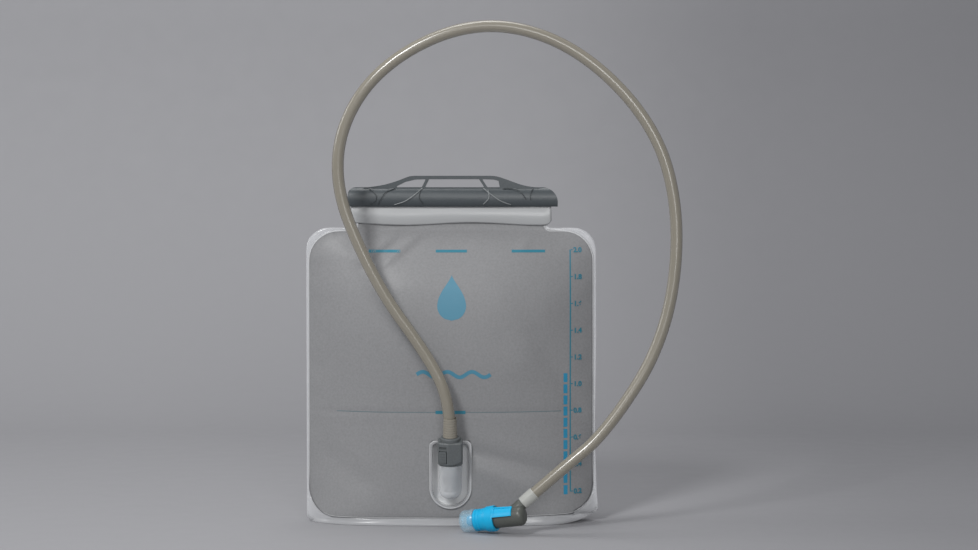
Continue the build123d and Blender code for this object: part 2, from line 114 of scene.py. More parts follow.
def mesh_from(name, points, faces):
    """A smooth-shaded mesh from points in millimetres."""
    mesh = bpy.data.meshes.new(name)
    mesh.from_pydata([tuple(c * MM for c in p) for p in points], [], faces)
    mesh.update()
    mesh.polygons.foreach_set("use_smooth", [True] * len(mesh.polygons))
    return mesh


def grid_faces(columns, rows):
    """Quads over points stored column by column."""
    faces = []
    for i in range(columns - 1):
        for j in range(rows - 1):
            a = i * rows + j
            b = (i + 1) * rows + j
            faces.append((a, b, b + 1, a + 1))
    return faces


def thicken(obj, mm, offset=1.0):
    """Gives a sheet its thickness."""
    solid = obj.modifiers.new("thickness", "SOLIDIFY")
    solid.thickness = mm * MM
    solid.offset = offset
    return obj


# ---- materials

def material(name, color, roughness=0.5, alpha=1.0, coat=0.0, grain=320.0, rough_by=0.18, bump=0.015):
    """A principled surface with uneven polish and a faint grain."""
    mat = bpy.data.materials.new(name)
    mat.use_nodes = True
    shader = mat.node_tree.nodes["Principled BSDF"]
    shader.inputs["Base Color"].default_value = (*color, 1)
    shader.inputs["Roughness"].default_value = roughness
    shader.inputs["Alpha"].default_value = alpha
    shader.inputs["Coat Weight"].default_value = coat
    shader.inputs["Coat Roughness"].default_value = 0.25
    links = mat.node_tree.links
    place = mat.node_tree.nodes.new("ShaderNodeTexCoord")
    noise = mat.node_tree.nodes.new("ShaderNodeTexNoise")
    noise.inputs["Scale"].default_value = grain
    noise.inputs["Detail"].default_value = 3.0
    polish = mat.node_tree.nodes.new("ShaderNodeMapRange")
    polish.inputs["To Min"].default_value = roughness * (1 - rough_by)
    polish.inputs["To Max"].default_value = roughness * (1 + rough_by)
    bumps = mat.node_tree.nodes.new("ShaderNodeBump")
    bumps.inputs["Strength"].default_value = 0.3
    bumps.inputs["Distance"].default_value = bump * MM
    links.new(place.outputs["Object"], noise.inputs["Vector"])
    links.new(noise.outputs["Fac"], polish.inputs["Value"])
    links.new(polish.outputs["Result"], shader.inputs["Roughness"])
    links.new(noise.outputs["Fac"], bumps.inputs["Height"])
    links.new(bumps.outputs["Normal"], shader.inputs["Normal"])
    return mat


def add_noise(mat, scale, bump, low, high):
    """Mottles a material's colour between two tints and roughens its surface."""
    nodes = mat.node_tree.nodes
    links = mat.node_tree.links
    shader = nodes["Principled BSDF"]
    place = nodes.new("ShaderNodeTexCoord")
    noise = nodes.new("ShaderNodeTexNoise")
    noise.inputs["Scale"].default_value = scale
    noise.inputs["Detail"].default_value = 3.0
    ramp = nodes.new("ShaderNodeValToRGB")
    ramp.color_ramp.elements[0].color = (*low, 1)
    ramp.color_ramp.elements[1].color = (*high, 1)
    ramp.color_ramp.elements[0].position = 0.3
    ramp.color_ramp.elements[1].position = 0.7
    bumps = nodes.new("ShaderNodeBump")
    bumps.inputs["Strength"].default_value = 0.4
    bumps.inputs["Distance"].default_value = bump * MM
    links.new(place.outputs["Object"], noise.inputs["Vector"])
    links.new(noise.outputs["Fac"], ramp.inputs["Fac"])
    links.new(ramp.outputs["Color"], shader.inputs["Base Color"])
    links.new(noise.outputs["Fac"], bumps.inputs["Height"])
    links.new(bumps.outputs["Normal"], shader.inputs["Normal"])
    return mat


def paint_light_gradient(mat, axis, span, low, high):
    """Paints a gradient of light or shade into a material's colour, from low to high along one of its
    object's axes.
    """
    nodes = mat.node_tree.nodes
    links = mat.node_tree.links
    place = nodes.new("ShaderNodeTexCoord")
    parts = nodes.new("ShaderNodeSeparateXYZ")
    share = nodes.new("ShaderNodeMapRange")
    share.interpolation_type = "SMOOTHSTEP"
    share.inputs["From Min"].default_value = span[0]
    share.inputs["From Max"].default_value = span[1]
    ramp = nodes.new("ShaderNodeValToRGB")
    ramp.color_ramp.elements[0].color = (*low, 1)
    ramp.color_ramp.elements[1].color = (*high, 1)
    links.new(place.outputs["Object"], parts.inputs["Vector"])
    links.new(parts.outputs[axis], share.inputs["Value"])
    links.new(share.outputs["Result"], ramp.inputs["Fac"])
    links.new(ramp.outputs["Color"], nodes["Principled BSDF"].inputs["Base Color"])
    return mat


def woven(name, dark, light, roughness):
    """Laminated film with a fine weave showing through."""
    mat = material(name, light, roughness, coat=0.05)
    mat.node_tree.nodes["Principled BSDF"].inputs["Specular IOR Level"].default_value = 0.25
    nodes = mat.node_tree.nodes
    links = mat.node_tree.links
    shader = nodes["Principled BSDF"]
    place = nodes.new("ShaderNodeTexCoord")
    threads = []
    for direction in ("X", "Z"):
        wave = nodes.new("ShaderNodeTexWave")
        wave.bands_direction = direction
        wave.inputs["Scale"].default_value = 420.0
        wave.inputs["Distortion"].default_value = 1.2
        wave.inputs["Detail"].default_value = 1.0
        links.new(place.outputs["Object"], wave.inputs["Vector"])
        threads.append(wave)
    weave = nodes.new("ShaderNodeMath")
    weave.operation = "MULTIPLY"
    links.new(threads[0].outputs["Fac"], weave.inputs[0])
    links.new(threads[1].outputs["Fac"], weave.inputs[1])
    cloud = nodes.new("ShaderNodeTexNoise")
    cloud.inputs["Scale"].default_value = 620.0
    cloud.inputs["Detail"].default_value = 4.0
    links.new(place.outputs["Object"], cloud.inputs["Vector"])
    total = nodes.new("ShaderNodeMath")
    total.operation = "MULTIPLY_ADD"
    total.inputs[1].default_value = 0.5
    links.new(weave.outputs["Value"], total.inputs[0])
    links.new(cloud.outputs["Fac"], total.inputs[2])
    ramp = nodes.new("ShaderNodeValToRGB")
    ramp.color_ramp.elements[0].color = (*dark, 1)
    ramp.color_ramp.elements[1].color = (*light, 1)
    ramp.color_ramp.elements[0].position = 0.3
    ramp.color_ramp.elements[1].position = 0.9
    links.new(total.outputs["Value"], ramp.inputs["Fac"])
    links.new(ramp.outputs["Color"], shader.inputs["Base Color"])
    bumps = nodes.new("ShaderNodeBump")
    bumps.inputs["Strength"].default_value = 0.25
    bumps.inputs["Distance"].default_value = 0.05 * MM
    links.new(total.outputs["Value"], bumps.inputs["Height"])
    links.new(bumps.outputs["Normal"], shader.inputs["Normal"])
    return mat


bag_grey = woven("bag_grey", (0.218, 0.219, 0.224), (0.272, 0.274, 0.28), 0.5)
clear_film = material("clear_film", (0.74, 0.75, 0.77), 0.16, alpha=0.36, coat=0.4, grain=90.0, bump=0.06)
# the weld lines' whitish colour, also used for the painted highlight on the port tray's rim
weld_white_and_tray_highlight = material("weld_white_and_tray_highlight", (0.72, 0.73, 0.74), 0.25, alpha=0.7)
band_white = material("band_white", (0.43, 0.44, 0.445), 0.34, alpha=0.93, coat=0.3, grain=60.0, bump=0.08)
clamp_grey = add_noise(
    material("clamp_grey", (0.056, 0.067, 0.073), 0.36), 900, 0.04, (0.05, 0.06, 0.066), (0.061, 0.072, 0.079)
)
# painted highlight and painted shade for the strokes along the clamp's ribs
rib_painted_highlight = material("rib_painted_highlight", (0.24, 0.255, 0.26), 0.3)
rib_painted_shade = material("rib_painted_shade", (0.028, 0.034, 0.038), 0.45)
fitting_grey = add_noise(
    material("fitting_grey", (0.11, 0.12, 0.124), 0.4), 900, 0.04, (0.1, 0.11, 0.113), (0.122, 0.132, 0.135)
)
elbow_grey = add_noise(
    material("elbow_grey", (0.085, 0.09, 0.082), 0.38), 900, 0.04, (0.078, 0.083, 0.075), (0.094, 0.1, 0.09)
)
# painted light: the port tray's colour goes from darker at its front rim to lighter in its deep interior,
# against the shade in the recess
tray_clear_painted_light = paint_light_gradient(
    material("tray_clear_painted_light", (0.5, 0.51, 0.52), 0.18, alpha=0.85, coat=0.4), 1, (-0.0165, -0.0125),
    (0.4, 0.405, 0.415), (0.8, 0.81, 0.82)
)
cup_frost = material("cup_frost", (0.76, 0.78, 0.8), 0.38, alpha=0.36, coat=0.2)
poppet_white = material("poppet_white", (0.7, 0.7, 0.7), 0.5)
seal_black = material("seal_black", (0.02, 0.02, 0.02), 0.6)
cuff_taupe = material("cuff_taupe", (0.27, 0.25, 0.21), 0.4)
sleeve_white = material("sleeve_white", (0.62, 0.63, 0.6), 0.2, alpha=0.5, coat=0.6)
hose_wall = material("hose_wall", (0.315, 0.29, 0.235), 0.2, alpha=0.72, coat=1.0, grain=240.0)
hose_bore = material("hose_bore", (0.22, 0.2, 0.16), 0.35, alpha=0.6)
valve_blue = material("valve_blue", (0.0, 0.4, 0.7), 0.4, grain=500.0)
mouth_clear = material("mouth_clear", (0.42, 0.7, 0.86), 0.18, alpha=0.27, coat=0.5)
ink_blue = material("ink_blue", (0.055, 0.22, 0.32), 0.45)
ink_teal = material("ink_teal", (0.02, 0.19, 0.27), 0.5)
ink_bright = material("ink_bright", (0.02, 0.24, 0.4), 0.5)
ink_faint = material("ink_faint", (0.11, 0.17, 0.19), 0.5)

looks = {
    "slide_clamp": clamp_grey, "port_tray": tray_clear_painted_light, "port_cup": cup_frost, "poppet": poppet_white,
    "poppet_seal": seal_black, "connector_stem": fitting_grey, "nozzle_o_rings": seal_black,
    "connector_housing": fitting_grey, "release_button": fitting_grey, "hose_cuff": cuff_taupe,
    "tube_sleeve": sleeve_white, "valve_elbow": elbow_grey, "barrel_o_ring": seal_black,
    "twist_collar": valve_blue, "shutoff_core": valve_blue, "bite_mouthpiece": mouth_clear,
    "front_panel": bag_grey, "back_panel": bag_grey, "bottom_gusset": clear_film,
    "front_mouth_band": band_white, "back_mouth_band": band_white, "drink_tube": hose_wall,
}
for node, look in looks.items():
    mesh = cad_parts[node].data
    mesh.materials.clear()
    mesh.materials.append(look)


# ---- hose

def hose_line():
    """Points along the hose's centre, in metres."""
    curve = bpy.data.curves.new("hose_line", "CURVE")
    curve.dimensions = "3D"
    curve.resolution_u = 24
    spline = curve.splines.new("NURBS")
    spline.points.add(len(HOSE_POINTS) - 1)
    for point, place in zip(spline.points, HOSE_POINTS):
        point.co = (*(c * MM for c in place), 1)
    spline.order_u = 3
    spline.use_endpoint_u = True
    obj = bpy.data.objects.new("hose_line", curve)
    scene.collection.objects.link(obj)
    line = bpy.data.meshes.new_from_object(obj)
    points = [v.co.copy() for v in line.vertices]
    bpy.data.objects.remove(obj)
    bpy.data.meshes.remove(line)
    return points


def tube_rings(points, radius, sides):
    """Rings of points round a line, without twist."""
    rings = []
    tangent = (points[1] - points[0]).normalized()
    across = tangent.orthogonal().normalized()
    for i, point in enumerate(points):
        ahead = points[min(i + 1, len(points) - 1)] - points[max(i - 1, 0)]
        ahead.normalize()
        across = (across - ahead * across.dot(ahead)).normalized()
        other = ahead.cross(across)
        ring = []
        for k in range(sides):
            angle = 2 * math.pi * k / sides
            ring.append(point + (across * math.cos(angle) + other * math.sin(angle)) * radius)
        rings.append(ring)
    return rings


def wall_faces(count, sides):
    """Quads between the rings of a tube."""
    faces = []
    for i in range(count - 1):
        for k in range(sides):
            a = i * sides + k
            b = i * sides + (k + 1) % sides
            faces.append((a, b, b + sides, a + sides))
    return faces


def end_caps(count, sides):
    """The two faces that close a tube's ends."""
    last = (count - 1) * sides
    return [tuple(range(sides - 1, -1, -1)), tuple(last + k for k in range(sides))]


def hollow_tube(name, points, outer, inner, sides=40):
    """A tube with a bore and closed end rings."""
    walls = tube_rings(points, outer, sides), tube_rings(points, inner, sides)
    verts = [p for wall in walls for ring in wall for p in ring]
    count = len(points) * sides
    faces = []
    kinds = []
    for w in range(2):
        for i in range(len(points) - 1):
            for k in range(sides):
                a = w * count + i * sides + k
                b = w * count + i * sides + (k + 1) % sides
                quad = (a, b, b + sides, a + sides)
                faces.append(quad if w == 0 else quad[::-1])
                kinds.append(w)
    for i in (0, len(points) - 1):
        for k in range(sides):
            a = i * sides + k
            b = i * sides + (k + 1) % sides
            quad = (b, a, a + count, b + count)
            faces.append(quad if i == 0 else quad[::-1])
            kinds.append(0)
    mesh = bpy.data.meshes.new(name)
    mesh.from_pydata(verts, [], faces)
    mesh.update()
    mesh.polygons.foreach_set("use_smooth", [True] * len(faces))
    mesh.materials.append(hose_wall)
    mesh.materials.append(hose_bore)
    mesh.polygons.foreach_set("material_index", kinds)
    return link(name, mesh)


line = hose_line()
hose = hollow_tube("drink_hose", line, HOSE_OD / 2 * MM, HOSE_ID / 2 * MM)
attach(hose, "hose")
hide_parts("drink_tube")


# ---- bag

def ridge(z):
    """Half depth of the filled bag on its centre line."""
    if z <= RIDGE[0][0]:
        return RIDGE[0][1]
    if z >= RIDGE[-1][0]:
        return RIDGE[-1][1]
    last = len(RIDGE) - 1
    i = max(k for k in range(last) if RIDGE[k][0] <= z)
    (z0, y0), (z1, y1) = RIDGE[i], RIDGE[i + 1]
    before, after = RIDGE[max(i - 1, 0)], RIDGE[min(i + 2, last)]
    slope0 = (y1 - before[1]) / (z1 - before[0])
    slope1 = (after[1] - y0) / (after[0] - z0)
    t = (z - z0) / (z1 - z0)
    span = z1 - z0
    return (
        (2 * t**3 - 3 * t**2 + 1) * y0 + (t**3 - 2 * t**2 + t) * span * slope0
        + (3 * t**2 - 2 * t**3) * y1 + (t**3 - t**2) * span * slope1
    )


def bulge(x, z):
    """Distance of a filled panel from the seam."""
    rise = min(max(z - (SHOULDER_Z - SHOULDER_R), 0), SHOULDER_R)
    width = FULL_W - SHOULDER_R + math.sqrt(SHOULDER_R**2 - rise**2)
    power = 2.6 + 5 * math.exp(-max(z, 0) / 25)
    return max(ridge(z), 0) * (1 - min(abs(x) / width, 1) ** power)


def fold(x, z, start, end, width, height):
    """A long soft ridge between two places, fading at its ends."""
    ax, az = start
    bx, bz = end
    length = math.hypot(bx - ax, bz - az)
    ux, uz = (bx - ax) / length, (bz - az) / length
    along = (x - ax) * ux + (z - az) * uz
    off = (x - ax) * -uz + (z - az) * ux
    past = max(-along, 0, along - length)
    return height * math.exp(-((off / width) ** 2) - (past / (0.25 * length)) ** 2)


FRONT_FOLDS = [
    ((-66, 216), (-40, 240), 3.2, 1.5), ((-58, 214), (-30, 240), 2.6, -1.2),
    ((-48, 214), (-18, 240), 3.4, 1.3), ((-34, 218), (-6, 241), 4.0, -0.8),
    ((58, 224), (70, 241), 4.0, 0.9), ((20, 226), (28, 241), 5.0, 0.5),
    ((20, 58), (74, 44), 7.0, -1.7), ((24, 44), (66, 30), 9.0, 0.9), ((70, 150), (100, 96), 10.0, -1.4),
    ((-104, 60), (-70, 34), 9.0, -0.9), ((-90, 91), (88, 91), 2.4, -0.35), ((56, 130), (78, 176), 14.0, 0.8),
    ((-80, 150), (-64, 96), 14.0, 0.7),
]
BACK_FOLDS = [
    ((-50, 216), (-24, 240), 3.4, 1.3), ((40, 214), (64, 240), 3.2, 1.2), ((6, 220), (14, 241), 4.0, -0.8),
    ((-90, 60), (80, 52), 9.0, -1.1), ((-60, 150), (50, 120), 14.0, -1.2), ((-90, 91), (88, 91), 2.4, -0.35),
    ((70, 170), (96, 110), 12.0, 1.0), ((-96, 180), (-76, 130), 12.0, -1.0),
]


def film_y(x, z, side):
    """A panel's inner face, with its folds and the puckers along its weld."""
    base = bulge(x, z)
    slack = min(base / 8.0, 1.0)
    folds = FRONT_FOLDS if side < 0 else BACK_FOLDS
    extra = sum(fold(x, z, *f) for f in folds)
    near = math.exp(-((FULL_W - abs(x)) / 9.0) ** 2)
    pucker = near * (0.5 * math.sin(z / 4.1 + side) + 0.4 * math.sin(z / 6.7 + 1.7 * side))
    soft = 0.45 * math.sin(x / 19.0 + z / 31.0 + side) * math.sin(z / 23.0 - x / 37.0)
    return side * (base + 0.12 + slack * (extra + pucker + soft)) + SEAM


def round_corner(corner, before, after, radius, count=8):
    """Points of the arc that rounds one corner of an outline."""
    c = Vector(corner)
    a = (Vector(before) - c).normalized()
    b = (Vector(after) - c).normalized()
    half = a.angle(b) / 2
    reach = radius / math.tan(half)
    centre = c + (a + b).normalized() * (radius / math.sin(half))
    start, end = c + a * reach, c + b * reach
    sweep = math.pi - 2 * half
    points = []
    for k in range(count + 1):
        t = k / count
        w0 = math.sin((1 - t) * sweep) / math.sin(sweep)
        w1 = math.sin(t * sweep) / math.sin(sweep)
        points.append(tuple(centre + (start - centre) * w0 + (end - centre) * w1))
    return points


def outline(corners, radii):
    """The two ends and the rounded corners of an open outline, each as a list of points."""
    pieces = [[corners[0]]]
    for i in range(1, len(corners) - 1):
        pieces.append(round_corner(corners[i], corners[i - 1], corners[i + 1], radii[i - 1]))
    pieces.append([corners[-1]])
    return pieces


def join(pieces, counts):
    """One list of points: each piece, and a fixed number of steps between pieces."""
    points = []
    for i, piece in enumerate(pieces):
        points += piece
        if i < len(pieces) - 1:
            a, b = piece[-1], pieces[i + 1][0]
            for k in range(1, counts[i]):
                t = k / counts[i]
                points.append((a[0] + (b[0] - a[0]) * t, a[1] + (b[1] - a[1]) * t))
    return points


def grey_side(sign, foot_z):
    """The woven part's edge from the middle of its foot round one side to the neck's top."""
    corners = [
        (0, 6.0), (sign * FULL_W, foot_z), (sign * FULL_W, SHOULDER_Z), (sign * NECK_HALF, SHOULDER_Z),
        (sign * (NECK_HALF - 0.5), BAG_TOP),
    ]
    return join(outline(corners, [22.0, SHOULDER_R, 5.0]), [36, 70, 6, 3])


def flange_side(sign):
    """The clear film's edge, point for point with grey_side."""
    out = 1.6 if sign > 0 else 0.0
    corners = [
        (0, 0.3), (sign * (FLANGE_W + out), 0.3), (sign * FLANGE_W, SHOULDER_Z + 2.6),
        (sign * (NECK_HALF + 2.6), SHOULDER_Z + 2.6), (sign * (NECK_HALF + 2.2), BAG_TOP),
    ]
    edge = join(outline(corners, [5.0, 18.0, 3.5]), [36, 70, 6, 3])
    if sign < 0:
        return edge
    narrow = [(x - 1.3 * math.exp(-((z - 75) / 45) ** 2) * (x > FULL_W), z) for x, z in edge]
    return [(x + 1.6 * max(0.0, 1 - z / 22) ** 2 * (x > FULL_W - 4), z) for x, z in narrow]


def row_half_width(edge, z):
    """Where one side's edge crosses a height."""
    best = None
    for (x0, z0), (x1, z1) in zip(edge, edge[1:]):
        low, high = min(z0, z1), max(z0, z1)
        if low - 1e-6 <= z <= high + 1e-6 and high - low > 1e-9:
            x = x0 + (x1 - x0) * (z - z0) / (z1 - z0)
            best = x if best is None or abs(x) > abs(best) else best
    return best


LEFT = grey_side(-1, 6.8)
RIGHT = grey_side(1, 9.5)


def woven_panel(side):
    """The grey part of one panel, fitted to its welded edge."""
    columns = 118
    rows = 150
    heights = [6.9 + (BAG_TOP - 6.9) * (j / (rows - 1)) for j in range(rows)]
    lefts = [row_half_width(LEFT, max(z, 6.9)) for z in heights]
    rights = [row_half_width(RIGHT, max(z, 9.6)) for z in heights]
    points = []
    for i in range(columns):
        t = i / (columns - 1)
        for j, z in enumerate(heights):
            x = lefts[j] + (rights[j] - lefts[j]) * t
            near_foot = max(0.0, 1 - (z - 6.9) / 12.0)
            lift = near_foot * (-0.9 + 2.6 * max(x, 0) / FULL_W)
            points.append((x, film_y(x, z + lift, side), z + lift))
    faces = grid_faces(columns, rows)
    if side > 0:
        faces = [f[::-1] for f in faces]
    return points, faces


def inside_window(x, z, shrink):
    """True inside the port's window, made this much smaller."""
    half = WINDOW_HALF - shrink
    if z > WINDOW_LOW:
        return abs(x) < half and z < WINDOW_TOP - shrink
    return math.hypot(x, z - WINDOW_LOW) < half


def onto_window(x, z, shrink):
    """The nearest point on the window's edge."""
    half = WINDOW_HALF - shrink
    top = WINDOW_TOP - shrink
    if z < WINDOW_LOW:
        length = math.hypot(x, z - WINDOW_LOW) or 1.0
        return x / length * half, WINDOW_LOW + (z - WINDOW_LOW) / length * half
    if top - z < half - abs(x):
        return max(-half, min(half, x)), top
    return math.copysign(half, x), min(z, top)


def bag_panel(name, side):
    """One woven panel as an object; the front one is open behind the port's rim."""
    points, faces = woven_panel(side)
    if side < 0:
        shrink = WINDOW_SHRINK
        inside = [inside_window(x, z, shrink) for x, _, z in points]
        faces = [f for f in faces if not all(inside[i] for i in f)]
        used = sorted({i for f in faces for i in f})
        for i in used:
            x, _, z = points[i]
            if inside_window(x, z, shrink):
                x, z = onto_window(x, z, shrink)
                points[i] = (x, film_y(x, z, side), z)
        renumber = {old: new for new, old in enumerate(used)}
        points = [points[i] for i in used]
        faces = [tuple(renumber[i] for i in f) for f in faces]
    obj = link(name, mesh_from(name, points, faces), bag_grey)
    return thicken(obj, FILM)


def flange_strip(name, side):
    """Clear film from the woven part's edge to the outer edge, both sides and the foot."""
    inner = LEFT[::-1] + RIGHT[1:]
    outer = flange_side(-1)[::-1] + flange_side(1)[1:]
    points = []
    for (x0, z0), (x1, z1) in zip(inner, outer):
        y0 = film_y(x0, z0, side) + side * 0.33
        low = max(0.0, 1 - z1 / 30.0)
        curl = low * (3.0 if x1 > 100 else 1.0) * side
        if abs(x1) > FULL_W - 1 or z1 > SHOULDER_Z:
            y1 = SEAM + side * 0.35 + curl * 0.3
        else:
            y1 = film_y(x1 * 0.985, z1, side) + side * 6.0 * max(0.0, 1 - (x1 / 96.0) ** 2)
        lift = 0.0
        if x1 > 70 and z1 < 40:
            lift = 7.0 * ((x1 - 70) / (FLANGE_W - 70)) ** 3 * max(0.0, 1 - z1 / 40.0)
        for k in range(4):
            t = k / 3
            points.append((x0 + (x1 - x0) * t, y0 + (y1 - y0) * t, z0 + (z1 + lift - z0) * t))
    faces = grid_faces(len(inner), 4)
    if side < 0:
        faces = [f[::-1] for f in faces]
    obj = link(name, mesh_from(name, points, faces), clear_film)
    return thicken(obj, 0.3, 0)


def bead_line(name, side):
    """The weld line along the woven part's edge, strongest over the shoulders."""
    inner = LEFT[::-1] + RIGHT[1:]
    points = [Vector((x * MM, (film_y(x, z, side) + side * 0.8) * MM, z * MM)) for x, z in inner]
    sides = 10
    rings = tube_rings(points, MM, sides)
    verts = []
    for (_, z), centre, ring in zip(inner, points, rings):
        radius = 0.2 + 0.32 * min(max(z - 20, 0) / 180, 1)
        verts += [tuple(c / MM for c in centre + (p - centre) * radius) for p in ring]
    faces = wall_faces(len(points), sides) + end_caps(len(points), sides)
    return link(name, mesh_from(name, verts, faces), weld_white_and_tray_highlight)


front = bag_panel("front_film", -1)
back = bag_panel("back_film", 1)
bag_parts = [front, back]
for name, side in (("front", -1), ("back", 1)):
    bag_parts.append(flange_strip(name + "_clear_edge", side))
    bag_parts.append(bead_line(name + "_weld", side))
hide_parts("front_panel")
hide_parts("back_panel")
for part in bag_parts:
    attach(part, "reservoir")


# ---- gusset

def gusset_film():
    """The clear floor between the panels, a little slack in its middle."""
    columns, rows = 90, 14
    points = []
    for i in range(columns):
        x = -GUSSET_HALF + 2 * GUSSET_HALF * i / (columns - 1)
        half = max(bulge(x, GUSSET_Z) - 0.4, 0.6)
        for j in range(rows):
            s = 2 * j / (rows - 1) - 1
            sag = 0.9 * (1 - s * s) * (1 + 0.4 * math.sin(x / 13.0)) * min(half / 10, 1)
            points.append((x, SEAM + half * s, 7.6 - sag))
    sheet = mesh_from("gusset_film", points, grid_faces(columns, rows))
    return thicken(link("gusset_film", sheet, clear_film), 0.4, 0)


gusset = gusset_film()
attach(gusset, "reservoir")
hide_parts("bottom_gusset")


# ---- mouth bands

def mouth_film(name, side):
    """Frosted strip with a soft lower edge, held in the clamp."""
    columns, rows = 90, 16
    points = []
    for i in range(columns):
        t = i / (columns - 1)
        x = BAND_X0 + BAND_LENGTH * t
        end = min(1.0, (1 - abs(2 * t - 1)) * 12)
        low = BAND_LOW + 1.1 * math.sin(x / 17.0 + 0.6) + 3.6 * (1 - math.sqrt(1 - (1 - end) ** 2))
        for j in range(rows):
            s = j / (rows - 1)
            z = low + (BAND_TOP - low) * s
            belly = 1.5 * math.sin(math.pi * min(s * 1.3, 1)) + 0.3 * math.sin(x / 11.0) * (1 - s)
            points.append((x, SEAM + side * (1.25 + belly * (0.45 + 0.55 * end)), z))
    faces = grid_faces(columns, rows)
    if side > 0:
        faces = [f[::-1] for f in faces]
    return thicken(link(name, mesh_from(name, points, faces), band_white), 0.9)


for name, side in (("front", -1), ("back", 1)):
    strip = mouth_film(name + "_mouth_film", side)
    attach(strip, "reservoir")
    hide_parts(name + "_mouth_band")


# ---- lines with painted highlight and shade on the moulded parts

def line_tube(name, points, radius, mat, closed=False):
    """A fine raised line through points given in millimetres."""
    sides = 8
    path = [Vector(p) * MM for p in points]
    rings = tube_rings(path, radius * MM, sides)
    verts = [tuple(c / MM for c in p) for ring in rings for p in ring]
    faces = wall_faces(len(rings), sides)
    if closed:
        base = (len(rings) - 1) * sides
        for k in range(sides):
            faces.append((base + k, base + (k + 1) % sides, (k + 1) % sides, k))
    else:
        faces += end_caps(len(rings), sides)
    return link(name, mesh_from(name, verts, faces), mat)


def front_of(node):
    """A function that gives the front of a CAD node at (x, z), millimetres."""
    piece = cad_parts[node]
    tree = BVHTree.FromObject(piece, bpy.context.evaluated_depsgraph_get())
    back = piece.matrix_world.inverted()

    def place(x, z):
        start = back @ Vector((x * MM, -0.3, z * MM))
        ahead = back.to_3x3() @ Vector((0, 1, 0))
        hit = tree.ray_cast(start, ahead)[0]
        return None if hit is None else tuple((piece.matrix_world @ hit) / MM)

    return place


def smooth_curve(points, steps=8):
    """A Catmull-Rom line through points of (x, z)."""
    line = []
    for i in range(len(points) - 1):
        p0 = Vector(points[max(i - 1, 0)])
        p1, p2 = Vector(points[i]), Vector(points[i + 1])
        p3 = Vector(points[min(i + 2, len(points) - 1)])
        for k in range(steps):
            t = k / steps
            line.append(tuple(0.5 * (
                2 * p1 + (p2 - p0) * t + (2 * p0 - 5 * p1 + 4 * p2 - p3) * t**2
                + (3 * p1 - 3 * p2 + p3 - p0) * t**3
            )))
    line.append(tuple(points[-1]))
    return line


bpy.context.view_layer.update()
clamp_front = front_of("slide_clamp")
# each rib stroke is coloured as a painted highlight or a painted shade
for k, (curve, light) in enumerate(RIBS):
    places = [clamp_front(CLAMP_MID + x, z) for x, z in smooth_curve(curve)]
    places = [p for p in places if p is not None and p[1] < SEAM - 3.0]
    rib = line_tube(f"clamp_rib_{k}", places, 0.34, rib_painted_highlight if light else rib_painted_shade)
    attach(rib, "clamp")
tray_front = front_of("port_tray")
rim = []
for k in range(96):
    angle = 2 * math.pi * k / 96
    dx, dz = math.sin(angle), -math.cos(angle)
    middle = RIM_LOW if dz < 0 else RIM_HIGH
    reach = RIM_HALF
    if dz >= 0:
        reach = min(RIM_HALF / max(abs(dx), 1e-6), RIM_RISE / max(dz, 1e-6))
    rim.append((dx * reach, middle + dz * reach))
places = [tray_front(x, z) for x, z in rim]
places = [p for p in places if p is not None]
# painted highlight: a thin white line along the port tray's rim
rim_highlight_line = line_tube("tray_rim_line", places, 0.4, weld_white_and_tray_highlight, closed=True)
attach(rim_highlight_line, "reservoir")


# ---- prints

bpy.context.view_layer.update()
skin = BVHTree.FromObject(front, bpy.context.evaluated_depsgraph_get())


def on_panel(x, z, off=0.12):
    """A place just off the front panel's film, millimetres."""
    hit, normal, _, _ = skin.ray_cast(Vector((x * MM, -0.2, z * MM)), Vector((0, 1, 0)))
    if normal.y > 0:
        normal = -normal
    return tuple((hit + normal * off * MM) / MM)


def ink(name, polygons, mat):
    """Flat shapes given as grids of (x, z) laid on the front panel."""
    points, faces = [], []
    for grid in polygons:
        base = len(points)
        rows = len(grid[0])
        points += [on_panel(x, z) for column in grid for x, z in column]
        faces += [tuple(base + i for i in f[::-1]) for f in grid_faces(len(grid), rows)]
    obj = link(name, mesh_from(name, points, faces), mat)
    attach(obj, "reservoir")
    return obj


def bar(x0, z0, x1, z1, step=1.5):
    """A rectangle cut into small columns."""
    nx = max(2, int(abs(x1 - x0) / step) + 1)
    nz = max(2, int(abs(z1 - z0) / step) + 1)
    xs = [x0 + (x1 - x0) * i / (nx - 1) for i in range(nx)]
    zs = [z0 + (z1 - z0) * j / (nz - 1) for j in range(nz)]
    return [[(x, z) for z in zs] for x in xs]


def ribbon(path, width):
    """A band of even width along a line of (x, z)."""
    grid = []
    for i, (x, z) in enumerate(path):
        ax, az = path[max(i - 1, 0)]
        bx, bz = path[min(i + 1, len(path) - 1)]
        length = math.hypot(bx - ax, bz - az)
        nx, nz = -(bz - az) / length, (bx - ax) / length
        grid.append([(x + nx * width * k, z + nz * width * k) for k in (-0.5, 0, 0.5)])
    return grid


def drop(cx, cz, width, height):
    """A water drop as a grid between its outline and its middle line."""
    grid = []
    count = 26
    radius = width / 2
    for i in range(count + 1):
        t = i / count
        z = cz - radius + height * t
        if z < cz:
            half = math.sqrt(max(radius**2 - (z - cz) ** 2, 0))
        else:
            s = (z - cz) / (height - radius)
            half = radius * math.cos(s * math.pi / 2) ** 1.25 if s < 1 else 0
        half = max(half, 0.05)
        grid.append([(cx - half + 2 * half * k / 10, z) for k in range(11)])
    return grid


def numeral_mesh(text, x, z, height):
    """Figures from the built-in font, laid on the panel."""
    curve = bpy.data.curves.new("numeral", "FONT")
    curve.body = text
    curve.size = height * 1.4
    curve.offset = 0.05 * height
    obj = bpy.data.objects.new("numeral", curve)
    scene.collection.objects.link(obj)
    mesh = bpy.data.meshes.new_from_object(obj)
    bpy.data.objects.remove(obj)
    for v in mesh.vertices:
        v.co = tuple(c * MM for c in on_panel(x + v.co.x, z + v.co.y - height / 2, 0.4))
    mesh.materials.clear()
    obj = link("numeral_" + text, mesh, ink_teal)
    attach(obj, "reservoir")
    return obj


